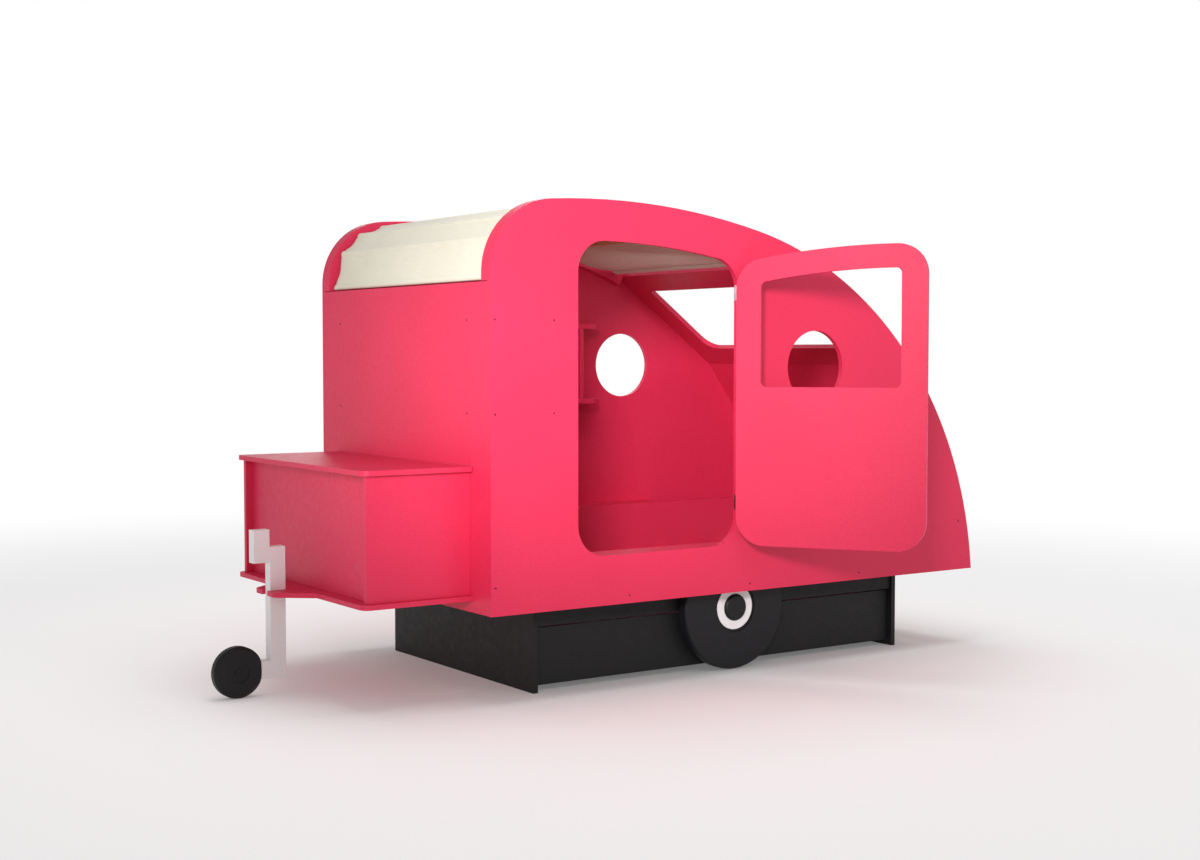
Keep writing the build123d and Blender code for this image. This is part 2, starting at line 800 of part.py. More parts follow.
def wheel_ring():
    ring = Cylinder(RING_OUT_R, RING_THICK) - Cylinder(RING_IN_R, RING_THICK)
    ring = facing_near(Pos(0, 0, RING_THICK / 2) * ring, WHEEL_FACE_Y + WHEEL_RECESS)
    keep = block(WHEEL_X - UP, WHEEL_X + UP, -UP, 0, -UP, WHEEL_TOP)
    return ring & keep


def wheel_hub():
    hub = Pos(0, 0, HUB_LENGTH / 2) * prism(HUB_R, HUB_SIDES, HUB_LENGTH)
    rim = hub.faces().sort_by(Axis.Z)[-1].edges()
    return facing_near(chamfer(rim, HUB_EDGE), WHEEL_FACE_Y + WHEEL_RECESS)


def wheel_block():
    """Packing block that holds the wheel off the board behind it."""
    half = WHEEL_BLOCK_WIDTH / 2
    return block(
        WHEEL_X - half,
        WHEEL_X + half,
        WHEEL_BACK_Y,
        WHEEL_BACK_Y + PLINTH_RECESS,
        PLINTH_TOP - WHEEL_BLOCK_HEIGHT,
        PLINTH_TOP,
    )


def box_plan(x_high):
    """Lid and plate outline in X and Y: square at the rear, round at the front."""
    face = Pos((BOX_FRONT_X + x_high) / 2, 0) * Rectangle(x_high - BOX_FRONT_X, 2 * BOX_HALF)
    return fillet(face.vertices().sort_by(Axis.X)[:2], BOX_CORNER)


def toolbox_lid():
    lid = extrude(Plane.XY.offset(BOX_LID_Z + REST_GAP) * box_plan(LID_REAR_X), BOX_PLATE - REST_GAP)
    knuckle_notch = Cylinder(KNUCKLE_R + KNUCKLE_GAP, HINGE_LENGTH + 2 * KNUCKLE_GAP)
    for place in lid_hinge_places():
        lid -= place * leaf_block(-1, DOOR_LEAF_OUT, LID_LEAF_REACH + KNUCKLE_R)
        lid -= place * knuckle_notch
    return lid


def tongue_plan():
    """Tapered tongue ahead of the plate, drawn a little way into it."""
    tip = BOX_FRONT_X - TONGUE_REACH
    half = [
        (BOX_FRONT_X + BOX_CORNER, TONGUE_ROOT_HALF),
        (BOX_FRONT_X, TONGUE_ROOT_HALF),
        (tip, TONGUE_TIP_HALF),
    ]
    other = [(x, -y) for x, y in reversed(half)]
    face = make_face(Polyline(*half, *other, close=True))
    return fillet(face.vertices().sort_by(Axis.X)[:2], TONGUE_CORNER)


def toolbox_plate():
    """Floor of the tool box with its tongue, slotted for the jockey post."""
    face = box_plan(0.0) + tongue_plan()
    slot_half = POST_THICK / 2 + SLOT_GAP
    slot_end = POST_X
    slot_tip = BOX_FRONT_X - TONGUE_REACH - BOX_CORNER
    face -= Pos((slot_end + slot_tip) / 2, 0) * Rectangle(slot_end - slot_tip, 2 * slot_half)
    return extrude(Plane.XY.offset(BOX_PLATE_Z) * face, BOX_PLATE)


BOX_FLOOR = BOX_PLATE_Z + BOX_PLATE
BOX_SIDE_OUT = BOX_HALF - BOX_SIDE_INSET
BOX_SIDE_IN = BOX_SIDE_OUT - BOARD
BOX_SIDE_X = BOX_FRONT_X + BOX_SIDE_SETBACK


def toolbox_side():
    return block(BOX_SIDE_X, 0, -BOX_SIDE_OUT, -BOX_SIDE_IN, BOX_FLOOR, BOX_LID_Z)


def toolbox_front():
    face_x = BOX_SIDE_X + BOX_FRONT_RECESS
    return block(face_x, face_x + BOARD, -BOX_SIDE_IN, BOX_SIDE_IN, BOX_FLOOR, BOX_LID_Z)


def jockey_post():
    """Upright plank with a hitch block at its head and a toe for the wheel."""
    front = POST_X - POST_DEPTH
    hitch = front - HITCH_DEPTH
    toe = front - POST_TOE_DEPTH
    corners = [
        (toe, POST_FOOT_Z),
        (POST_X, POST_FOOT_Z),
        (POST_X, POST_TOP),
        (front, POST_TOP),
        (front, HITCH_TOP),
        (hitch, HITCH_TOP),
        (hitch, HITCH_Z),
        (front, HITCH_Z),
        (front, POST_TOE_TOP),
        (toe, POST_TOE_TOP),
    ]
    face = make_face(Polyline(*corners, close=True))
    post = plank(face, -POST_THICK / 2, POST_THICK / 2)
    rims = post.faces().sort_by(Axis.Y)[0].edges() + post.faces().sort_by(Axis.Y)[-1].edges()
    return chamfer(rims, POST_EDGE)


def jockey_wheel():
    """Round wheel with a dished face and raised hub on both sides, cut flat at the post."""
    half = JOCKEY_THICK / 2
    disc = Cylinder(JOCKEY_R, JOCKEY_THICK)
    disc = chamfer(disc.edges().filter_by(GeomType.CIRCLE), JOCKEY_EDGE)
    dish = prism(JOCKEY_RING_R, JOCKEY_SIDES, 2 * JOCKEY_RELIEF)
    dish -= prism(JOCKEY_HUB_R, JOCKEY_SIDES, 2 * JOCKEY_RELIEF)
    disc -= Pos(0, 0, half) * dish
    disc -= Pos(0, 0, -half) * dish
    x = POST_X - POST_DEPTH - POST_TOE_DEPTH - JOCKEY_SETBACK
    wheel = Pos(x, 0, JOCKEY_R) * Rot(90, 0, 0) * disc
    return wheel & block(x - UP, x + JOCKEY_SETBACK, -UP, UP, -UP, UP)


def opened(solid):
    """Turn a door piece about the hinge pin from closed to its place at rest."""
    pin = Axis((HINGE_X, HINGE_Y, 0), (0, 0, 1))
    return solid.rotate(pin, DOOR_OPEN)


def door_leaf():
    face = door_shape(GAP) - door_window_shape()
    leaf = plank(face, -SIDE_OUT, -SIDE_IN)
    for place in door_hinge_places():
        leaf -= place * leaf_block(-1, DOOR_LEAF_OUT, DOOR_LEAF_REACH)
    return opened(leaf)


def hinge_pins():
    return placed(door_hinge_places() + lid_hinge_places(), hinge_pin())


def write(name, pieces):
    """Move a piece, or a group of separate ones, to the object's origin and save it."""
    solids = []
    for piece in pieces if isinstance(pieces, list) else [pieces]:
        solids += list(piece.solids())
    moved = [Pos(-ORIGIN_X, 0, 0) * solid for solid in solids]
    shape = moved[0] if len(moved) == 1 else Compound(children=moved)
    export_step(shape, f"parts/{name}.step")


def body_pieces():
    return {
        "side_panel_near": side_panel(True),
        "side_panel_far": side_panel(False),
        "front_panel": front_panel(),
        "rear_window_panel": rear_window_panel(),
        **{f"tail_board_{i + 1}": tail_board(i) for i in range(TAIL_BOARDS)},
        "roof_rib_near": rib(),
        "roof_rib_far": mirrored(rib()),
        "roof_rods": roof_rods(),
        "roof_canvas": roof_canvas(),
        "panel_screws": screws(SCREW_R),
    }


def bed_pieces():
    return {
        "bed_rail_near": bed_rail(LEDGE_NEAR_TOP),
        "bed_rail_far": mirrored(bed_rail(LEDGE_FAR_TOP)),
        "bed_ledge_near": bed_ledge(LEDGE_NEAR_TOP),
        "bed_ledge_far": mirrored(bed_ledge(LEDGE_FAR_TOP)),
        "slat_cleats": slat_cleats(),
        "bed_slats": bed_slats(),
        "side_spacers": side_spacers(),
        "shelf_near_lower": shelf(SHELF_NEAR_END, SHELF_LOW_Z),
        "shelf_near_upper": shelf(SHELF_NEAR_END, SHELF_HIGH_Z),
        "shelf_far_lower": mirrored(shelf(SHELF_FAR_END, SHELF_LOW_Z)),
        "shelf_far_upper": mirrored(shelf(SHELF_FAR_END, SHELF_HIGH_Z)),
        "shelf_divider": shelf_divider(),
    }


def base_pieces():
    return {
        "base_end_front": base_end(FOOT_FRONT_X),
        "base_end_rear": base_end(FOOT_REAR_X),
        "base_rail_near": base_rail(),
        "base_rail_far": mirrored(base_rail()),
        "base_plinth_far": mirrored(plinth(0.0)),
        "far_wheel_tyre": mirrored(wheel_tyre()),
        "far_wheel_ring": mirrored(wheel_ring()),
        "far_wheel_hub": mirrored(wheel_hub()),
        "far_wheel_block": mirrored(wheel_block()),
    }


def drawer_pieces():
    places = castor_places()
    return {
        "drawer_front": plinth(RUN_GAP),
        "drawer_back": drawer_back(),
        "drawer_sides": drawer_sides(),
        "drawer_bottom": drawer_bottom(),
        "castor_forks": placed(places, castor_fork()),
        **{f"castor_roller_{i + 1}": place * castor_roller() for i, place in enumerate(places)},
        "near_wheel_tyre": wheel_tyre(),
        "near_wheel_ring": wheel_ring(),
        "near_wheel_hub": wheel_hub(),
        "near_wheel_block": wheel_block(),
    }


def toolbox_pieces():
    return {
        "toolbox_side_near": toolbox_side(),
        "toolbox_side_far": mirrored(toolbox_side()),
        "toolbox_front": toolbox_front(),
        "toolbox_plate": toolbox_plate(),
        "toolbox_lid": toolbox_lid(),
        "jockey_post": jockey_post(),
        "jockey_wheel": jockey_wheel(),
    }


def hinged_pieces():
    door_fixed, door_moving = door_leaves()
    lid_fixed, lid_moving = lid_leaves()
    return {
        "door_leaf": door_leaf(),
        "door_hinge_frame_leaves": placed(door_hinge_places(), door_fixed),
        "door_hinge_door_leaves": [opened(leaf) for leaf in placed(door_hinge_places(), door_moving)],
        "lid_hinge_frame_leaves": placed(lid_hinge_places(), lid_fixed),
        "lid_hinge_lid_leaves": placed(lid_hinge_places(), lid_moving),
        "hinge_pins": hinge_pins(),
    }


os.makedirs("parts", exist_ok=True)
for group in (body_pieces, bed_pieces, base_pieces, drawer_pieces, toolbox_pieces, hinged_pieces):
    for name, pieces in group().items():
        write(name, pieces)
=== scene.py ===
import logging
from dataclasses import dataclass
from enum import Enum
from math import atan2, cos, exp, pi, radians, sin, sqrt
from typing import Any

import bpy
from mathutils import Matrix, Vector, noise


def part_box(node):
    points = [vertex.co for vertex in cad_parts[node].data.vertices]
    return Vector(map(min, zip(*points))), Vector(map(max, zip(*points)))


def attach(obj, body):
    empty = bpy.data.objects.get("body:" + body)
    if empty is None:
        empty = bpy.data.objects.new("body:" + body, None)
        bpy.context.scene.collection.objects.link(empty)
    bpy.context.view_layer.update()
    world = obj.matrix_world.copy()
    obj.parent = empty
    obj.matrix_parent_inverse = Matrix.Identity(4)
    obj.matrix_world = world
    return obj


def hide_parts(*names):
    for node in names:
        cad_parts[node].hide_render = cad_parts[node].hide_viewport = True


# A child's bed in the form of a small caravan: sprayed boards, a cotton roof on rods, a
# rolling drawer below and a tool box with a jockey wheel at the front.

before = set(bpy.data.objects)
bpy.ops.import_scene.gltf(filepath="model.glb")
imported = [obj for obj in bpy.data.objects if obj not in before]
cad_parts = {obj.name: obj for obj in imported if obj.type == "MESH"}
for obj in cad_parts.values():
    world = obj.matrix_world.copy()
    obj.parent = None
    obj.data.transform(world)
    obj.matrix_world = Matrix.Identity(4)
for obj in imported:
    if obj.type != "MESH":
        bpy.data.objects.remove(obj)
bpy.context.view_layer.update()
NODES: dict[str, bpy.types.Object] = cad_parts
LOG = logging.getLogger("caravan_bed")
MM = 0.001
# A wave texture of scale 1 draws about this many bands in a metre.
BANDS = 3.2


def linear(hex_colour: str) -> tuple[float, float, float, float]:
    """Turn an sRGB hex value to linear light.

    Args:
        hex_colour: Six hex digits after a hash sign.

    Returns:
        Red, green, blue and alpha for a colour socket.
    """
    parts = [int(hex_colour[i:i + 2], 16) / 255 for i in (1, 3, 5)]
    light = [p / 12.92 if p <= 0.04045 else ((p + 0.055) / 1.055) ** 2.4 for p in parts]
    return (light[0], light[1], light[2], 1.0)


def add_node(tree: Any, kind: str, settings: dict | None = None, links: dict | None = None) -> Any:
    """Add a node with its settings and links.

    Args:
        tree: The node tree.
        kind: The node's type name.
        settings: Properties by name, and input values by socket name or number.
        links: Output sockets by the name or number of the input that they feed.

    Returns:
        The new node.
    """
    node = tree.nodes.new(kind)
    for key, value in (settings or {}).items():
        if isinstance(key, str) and hasattr(node, key):
            setattr(node, key, value)
        else:
            node.inputs[key].default_value = value
    for key, source in (links or {}).items():
        tree.links.new(source, node.inputs[key])
    return node


def uneven(tree: Any, coord: Any, size_mm: float, low: float, high: float, detail: float = 2.0) -> Any:
    """Make a value that drifts between two ends over the surface.

    Args:
        tree: The material's node tree.
        coord: The output socket with the pattern's coordinates, in metres.
        size_mm: Width of the patches in millimetres.
        low: Value in the lowest patches.
        high: Value in the highest patches.
        detail: How many finer layers the patches have.

    Returns:
        The output socket with the value.
    """
    patches = add_node(
        tree, "ShaderNodeTexNoise", {"Scale": 1 / (size_mm * MM), "Detail": detail}, {"Vector": coord}
    )
    spread = add_node(
        tree,
        "ShaderNodeMapRange",
        {"From Min": 0.3, "From Max": 0.7, "To Min": low, "To Max": high},
        {"Value": patches.outputs["Fac"]},
    )
    return spread.outputs["Result"]


def blend_colours(tree: Any, factor: Any, first: Any, second: Any) -> Any:
    """Mix two colours by a factor.

    Args:
        tree: The material's node tree.
        factor: Output socket with the share of the second colour.
        first: A colour, or the output socket of one.
        second: A colour, or the output socket of one.

    Returns:
        The output socket with the mixed colour.
    """
    settings: dict = {"data_type": "RGBA"}
    links: dict = {0: factor}
    for slot, colour in ((6, first), (7, second)):
        if isinstance(colour, bpy.types.NodeSocket):
            links[slot] = colour
        else:
            settings[slot] = colour
    return add_node(tree, "ShaderNodeMix", settings, links).outputs[2]


@dataclass(frozen=True)
class Finish:
    """What each finish starts from: a name, two close shades and a gloss."""

    name: str
    light: str
    deep: str
    roughness: float

    def start(self) -> tuple[bpy.types.Material, Any, Any, Any]:
        """Begin the material.

        Returns:
            The material, its tree, its shader and the socket with Object coordinates.
        """
        material = bpy.data.materials.new(self.name)
        material.use_nodes = True
        tree = material.node_tree
        coord = add_node(tree, "ShaderNodeTexCoord").outputs["Object"]
        return material, tree, tree.nodes["Principled BSDF"], coord

    def raise_bumps(self, tree: Any, shader: Any, height: Any, depth_mm: float) -> None:
        """Feed a height to the shader's normal.

        Args:
            tree: The material's node tree.
            shader: The shader that takes the normal.
            height: Output socket with a height from 0 to 1.
            depth_mm: Real height of the bumps in millimetres.
        """
        bump = add_node(
            tree, "ShaderNodeBump", {"Strength": 1.0, "Distance": depth_mm * MM}, {"Height": height}
        )
        tree.links.new(bump.outputs["Normal"], shader.inputs["Normal"])


@dataclass(frozen=True)
class SprayedLacquer(Finish):
    """Satin lacquer sprayed on primed fibreboard.

    The spray leaves a faint orange peel, which breaks the shine into a fine grain, and the
    coat's thickness drifts over a board, so its shade drifts too.
    """

    cloud_mm: float = 420.0
    cloud_share: float = 0.5
    peel_mm: float = 3.0
    peel_depth_mm: float = 0.05
    speck_share: float = 0.6
    shine: float = 0.3

    def build(self) -> bpy.types.Material:
        """Make the material."""
        material, tree, shader, coord = self.start()
        drift = uneven(tree, coord, self.cloud_mm, 0.0, self.cloud_share)
        shade = blend_colours(tree, drift, linear(self.light), linear(self.deep))
        speck = uneven(tree, coord, self.peel_mm * 2, 0.0, self.speck_share, 3.0)
        grained = blend_colours(tree, speck, shade, linear(self.deep))
        gloss = uneven(tree, coord, self.peel_mm * 6, self.roughness - 0.05, self.roughness + 0.06)
        tree.links.new(grained, shader.inputs["Base Color"])
        tree.links.new(gloss, shader.inputs["Roughness"])
        shader.inputs["IOR"].default_value = 1.5
        shader.inputs["Specular IOR Level"].default_value = self.shine
        peel = uneven(tree, coord, self.peel_mm, 0.0, 1.0, 1.0)
        self.raise_bumps(tree, shader, peel, self.peel_depth_mm)
        return material


@dataclass(frozen=True)
class CottonCanvas(Finish):
    """Plain-woven unbleached cotton duck, about 400 g/m2.

    The threads are 0.6 mm apart. They are drawn 2.4 mm apart, because finer ones would not
    show, and thick places in the yarn run along them as faint streaks.
    """

    thread_mm: float = 2.4
    weave_depth_mm: float = 0.18
    slub_mm: float = 3.0
    slub_share: float = 0.5
    cloud_mm: float = 260.0
    cloud_share: float = 0.45
    glow_through: float = 0.4

    def build(self) -> bpy.types.Material:
        """Make the material."""
        material, tree, shader, coord = self.start()
        cloth = add_node(tree, "ShaderNodeUVMap", {"uv_map": "cloth"}).outputs["UV"]
        threads = [
            add_node(
                tree,
                "ShaderNodeTexWave",
                {
                    "wave_type": "BANDS", "bands_direction": way,
                    "Scale": 1 / (self.thread_mm * MM) / BANDS,
                    "Distortion": 0.6, "Detail": 1.0, "Detail Scale": 2.0,
                },
                {"Vector": cloth},
            ).outputs["Fac"]
            for way in ("X", "Y")
        ]
        weave = add_node(
            tree, "ShaderNodeMath", {"operation": "MAXIMUM"}, {0: threads[0], 1: threads[1]}
        )
        long = add_node(tree, "ShaderNodeMapping", {"Scale": (0.06, 1.0, 1.0)}, {"Vector": cloth})
        slub = uneven(tree, long.outputs["Vector"], self.slub_mm, 0.0, self.slub_share, 3.0)
        cloud = uneven(tree, coord, self.cloud_mm, 0.0, self.cloud_share)
        shade = blend_colours(tree, cloud, linear(self.light), linear(self.deep))
        streaked = blend_colours(tree, slub, shade, linear(self.deep))
        tree.links.new(streaked, shader.inputs["Base Color"])
        shader.inputs["Subsurface Weight"].default_value = self.glow_through
        shader.inputs["Subsurface Radius"].default_value = (1.0, 0.95, 0.85)
        shader.inputs["Subsurface Scale"].default_value = self.thread_mm * MM
        shader.inputs["Roughness"].default_value = self.roughness
        shader.inputs["Sheen Weight"].default_value = 0.2
        shader.inputs["Sheen Roughness"].default_value = 0.6
        shader.inputs["Specular IOR Level"].default_value = 0.25
        self.raise_bumps(tree, shader, weave.outputs["Value"], self.weave_depth_mm)
        return material


@dataclass(frozen=True)
class PlanedWood(Finish):
    """Planed and oiled beech: fine dark flecks in a pale ground, long along the piece."""

    ring_mm: float = 9.0
    stretch: float = 0.05

    def build(self) -> bpy.types.Material:
        """Make the material."""
        material, tree, shader, coord = self.start()
        along = add_node(
            tree, "ShaderNodeMapping", {"Scale": (1.0, self.stretch, 1.0)}, {"Vector": coord}
        ).outputs["Vector"]
        rings = add_node(
            tree,
            "ShaderNodeTexWave",
            {"wave_type": "BANDS", "bands_direction": "X", "Scale": 1 / (self.ring_mm * MM) / BANDS,
             "Distortion": 7.0, "Detail": 3.0, "Detail Scale": 1.4},
            {"Vector": along},
        )
        fleck = uneven(tree, along, 1.6, 0.0, 0.5, 3.0)
        ground = blend_colours(tree, rings.outputs["Fac"], linear(self.light), linear(self.deep))
        flecked = blend_colours(tree, fleck, ground, linear(self.deep))
        tree.links.new(flecked, shader.inputs["Base Color"])
        tree.links.new(uneven(tree, along, 4.0, self.roughness - 0.07, self.roughness + 0.07),
                       shader.inputs["Roughness"])
        self.raise_bumps(tree, shader, fleck, 0.05)
        return material


@dataclass(frozen=True)
class ZincPlate(Finish):
    """Rolled steel under bright zinc: fine rolling lines and a slightly cloudy shine."""

    line_mm: float = 0.8

    def build(self) -> bpy.types.Material:
        """Make the material."""
        material, tree, shader, coord = self.start()
        rolled = add_node(
            tree, "ShaderNodeMapping", {"Scale": (1.0, 1.0, 0.08)}, {"Vector": coord}
        ).outputs["Vector"]
        lines = uneven(tree, rolled, self.line_mm, 0.0, 1.0, 3.0)
        cloud = uneven(tree, coord, 12.0, 0.0, 1.0)
        tree.links.new(
            blend_colours(tree, cloud, linear(self.light), linear(self.deep)), shader.inputs["Base Color"]
        )
        tree.links.new(uneven(tree, rolled, self.line_mm * 2, self.roughness - 0.08, self.roughness + 0.1),
                       shader.inputs["Roughness"])
        shader.inputs["Metallic"].default_value = 1.0
        self.raise_bumps(tree, shader, lines, 0.01)
        return material


@dataclass(frozen=True)
class MouldedNylon(Finish):
    """Injection-moulded nylon: an even fine spark-eroded grain, duller where it has rolled."""

    grain_mm: float = 1.2

    def build(self) -> bpy.types.Material:
        """Make the material."""
        material, tree, shader, coord = self.start()
        worn = uneven(tree, coord, 14.0, 0.0, 1.0)
        tree.links.new(
            blend_colours(tree, worn, linear(self.light), linear(self.deep)), shader.inputs["Base Color"]
        )
        tree.links.new(uneven(tree, coord, 9.0, self.roughness - 0.06, self.roughness + 0.08),
                       shader.inputs["Roughness"])
        shader.inputs["IOR"].default_value = 1.53
        self.raise_bumps(tree, shader, uneven(tree, coord, self.grain_mm, 0.0, 1.0), 0.04)
        return material


class Coat(Enum):
    """The finishes of the bed, each with a slot name for the log: the member's name in lower case."""

    CORAL_LACQUER = SprayedLacquer("sprayed coral lacquer", "#DC2F54", "#C92549", 0.46)
    BASE_GREY = SprayedLacquer("sprayed graphite lacquer", "#18181A", "#151517", 0.55)
    BLACK_LACQUER = SprayedLacquer("sprayed black lacquer", "#18181B", "#141417", 0.5)
    WHITE_LACQUER = SprayedLacquer("sprayed white lacquer", "#F0EDED", "#E6E1E1", 0.45)
    CANVAS_CREAM = CottonCanvas("unbleached cotton duck", "#D6D1BF", "#C5BFAA", 0.9)
    SLAT_WOOD = PlanedWood("planed beech", "#DDBB8C", "#C69C67", 0.5)
    STEEL = ZincPlate("zinc-plated steel", "#C9CBCD", "#AEB1B5", 0.3)
    CASTOR_PLASTIC = MouldedNylon("moulded nylon", "#1C1C1D", "#262627", 0.5)

    @property
    def slot(self) -> str:
        """Name of the finish's slot in the log."""
        return self.name.lower()


MATERIALS: dict[Coat, bpy.types.Material] = {}


def coated(coat: Coat) -> bpy.types.Material:
    """Give the material of a finish, made once.

    Args:
        coat: The finish.

    Returns:
        Its material.
    """
    if coat not in MATERIALS:
        MATERIALS[coat] = coat.value.build()
    return MATERIALS[coat]


def new_tree(name: str, inputs: dict[str, str]) -> tuple[Any, Any, Any, dict[str, str]]:
    """Start a Geometry Nodes tree with named inputs.

    Args:
        name: The tree's name.
        inputs: Socket type by input name, after the geometry.

    Returns:
        The tree, its input node, its output node and the inputs' identifiers by name.
    """
    tree = bpy.data.node_groups.new(name, "GeometryNodeTree")
    tree.interface.new_socket("Geometry", in_out="INPUT", socket_type="NodeSocketGeometry")
    tree.interface.new_socket("Geometry", in_out="OUTPUT", socket_type="NodeSocketGeometry")
    ids = {
        label: tree.interface.new_socket(label, in_out="INPUT", socket_type=kind).identifier
        for label, kind in inputs.items()
    }
    return tree, add_node(tree, "NodeGroupInput"), add_node(tree, "NodeGroupOutput"), ids


def finish_tree(tree: Any, given: Any, end: Any, geometry: Any) -> None:
    """End a tree with real geometry and its material.

    Args:
        tree: The tree.
        given: Its input node, which has an input named Material.
        end: Its output node.
        geometry: Output socket with the instances.
    """
    real = add_node(tree, "GeometryNodeRealizeInstances", {}, {"Geometry": geometry})
    dressed = add_node(
        tree, "GeometryNodeSetMaterial", {},
        {"Geometry": real.outputs["Geometry"], "Material": given.outputs["Material"]},
    )
    tree.links.new(dressed.outputs["Geometry"], end.inputs["Geometry"])


def socket_screw_tree() -> tuple[Any, dict[str, str]]:
    """Build the tree that puts a socket-head screw on each point.

    Returns:
        The tree and its inputs' identifiers by name.
    """
    tree, given, end, ids = new_tree(
        "socket screws",
        {"Head Radius": "NodeSocketFloat", "Head Height": "NodeSocketFloat",
         "Socket Share": "NodeSocketFloat", "Socket Depth": "NodeSocketFloat",
         "Material": "NodeSocketMaterial"},
    )
    out = given.outputs
    disc = add_node(
        tree, "GeometryNodeMeshCircle", {"fill_type": "NGON", "Vertices": 18},
        {"Radius": out["Head Radius"]},
    )
    wall = add_node(
        tree, "GeometryNodeExtrudeMesh", {"mode": "FACES"},
        {"Mesh": disc.outputs["Mesh"], "Offset Scale": out["Head Height"]},
    )
    rim = add_node(
        tree, "GeometryNodeExtrudeMesh", {"mode": "FACES", "Offset Scale": 0.0},
        {"Mesh": wall.outputs["Mesh"], "Selection": wall.outputs["Top"]},
    )
    inner = add_node(
        tree, "GeometryNodeScaleElements", {"domain": "FACE"},
        {"Geometry": rim.outputs["Mesh"], "Selection": rim.outputs["Top"], "Scale": out["Socket Share"]},
    )
    depth = add_node(
        tree, "ShaderNodeMath", {"operation": "MULTIPLY", 1: -1.0}, {0: out["Socket Depth"]}
    )
    hole = add_node(
        tree, "GeometryNodeExtrudeMesh", {"mode": "FACES"},
        {"Mesh": inner.outputs["Geometry"], "Selection": rim.outputs["Top"],
         "Offset Scale": depth.outputs["Value"]},
    )
    facing = add_node(
        tree, "GeometryNodeInputNamedAttribute", {"data_type": "FLOAT_VECTOR", "Name": "facing"}
    )
    turn = add_node(
        tree, "FunctionNodeAlignRotationToVector", {"axis": "Z"}, {"Vector": facing.outputs["Attribute"]}
    )
    points = add_node(tree, "GeometryNodeMeshToPoints", {}, {"Mesh": out["Geometry"]})
    heads = add_node(
        tree, "GeometryNodeInstanceOnPoints", {},
        {"Points": points.outputs["Points"], "Instance": hole.outputs["Mesh"],
         "Rotation": turn.outputs["Rotation"]},
    )
    finish_tree(tree, given, end, heads.outputs["Instances"])
    return tree, ids


def stitch_tree() -> tuple[Any, dict[str, str]]:
    """Build the tree that sews a row of stitches along each line.

    Returns:
        The tree and its inputs' identifiers by name.
    """
    tree, given, end, ids = new_tree(
        "stitches",
        {"Pitch": "NodeSocketFloat", "Thread Radius": "NodeSocketFloat",
         "Stitch Length": "NodeSocketFloat", "Material": "NodeSocketMaterial"},
    )
    out = given.outputs
    line = add_node(tree, "GeometryNodeMeshToCurve", {}, {"Mesh": out["Geometry"]})
    spots = add_node(
        tree, "GeometryNodeCurveToPoints", {"mode": "LENGTH"},
        {"Curve": line.outputs["Curve"], "Length": out["Pitch"]},
    )
    thread = add_node(tree, "GeometryNodeMeshUVSphere", {"Segments": 6, "Rings": 4, "Radius": 1.0})
    size = add_node(
        tree, "ShaderNodeCombineXYZ", {},
        {"X": out["Thread Radius"], "Y": out["Thread Radius"], "Z": out["Stitch Length"]},
    )
    rows = add_node(
        tree, "GeometryNodeInstanceOnPoints", {},
        {"Points": spots.outputs["Points"], "Instance": thread.outputs["Mesh"],
         "Rotation": spots.outputs["Rotation"], "Scale": size.outputs["Vector"]},
    )
    finish_tree(tree, given, end, rows.outputs["Instances"])
    return tree, ids


def smooth_tree() -> Any:
    """Build the tree that shades a surface smooth except at its sharp edges.

    Returns:
        The tree.
    """
    tree, given, end, _ = new_tree("smooth by angle", {})
    angle = add_node(tree, "GeometryNodeInputMeshEdgeAngle")
    flat_enough = add_node(
        tree, "FunctionNodeCompare", {"data_type": "FLOAT", "operation": "LESS_THAN", 1: radians(32.0)},
        {0: angle.outputs["Unsigned Angle"]},
    )
    faces = add_node(
        tree, "GeometryNodeSetShadeSmooth", {"domain": "FACE"}, {"Geometry": given.outputs["Geometry"]}
    )
    edges = add_node(
        tree, "GeometryNodeSetShadeSmooth", {"domain": "EDGE"},
        {"Geometry": faces.outputs["Geometry"], "Shade Smooth": flat_enough.outputs["Result"]},
    )
    tree.links.new(edges.outputs["Geometry"], end.inputs["Geometry"])
    return tree


def grown(
    name: str, seed: bpy.types.Object, tree: Any, ids: dict[str, str], values: dict[str, Any]
) -> bpy.types.Object:
    """Run a tree on an object and keep the result as a plain piece.

    Args:
        name: The piece's name.
        seed: The object whose mesh the tree starts from; it is removed.
        tree: The Geometry Nodes tree.
        ids: The tree's input identifiers by name.
        values: The inputs' values by name.

    Returns:
        The piece.
    """
    modifier = seed.modifiers.new("grow", "NODES")
    modifier.node_group = tree
    for label, value in values.items():
        modifier[ids[label]] = value
    evaluated = seed.evaluated_get(bpy.context.evaluated_depsgraph_get())
    mesh = bpy.data.meshes.new_from_object(evaluated)
    mesh.name = name
    mesh.materials.clear()
    mesh.materials.append(values["Material"])
    bpy.data.objects.remove(seed)
    return placed(name, mesh)


def placed(name: str, mesh: bpy.types.Mesh) -> bpy.types.Object:
    """Put a mesh in the scene as a piece at the origin."""
    piece = bpy.data.objects.new(name, mesh)
    bpy.context.scene.collection.objects.link(piece)
    return piece


def mesh_of(name: str, points: list, edges: list, faces: list) -> bpy.types.Mesh:
    """Make a mesh from points in metres with its edges and faces."""
    mesh = bpy.data.meshes.new(name)
    mesh.from_pydata([tuple(p) for p in points], edges, faces)
    mesh.update()
    return mesh


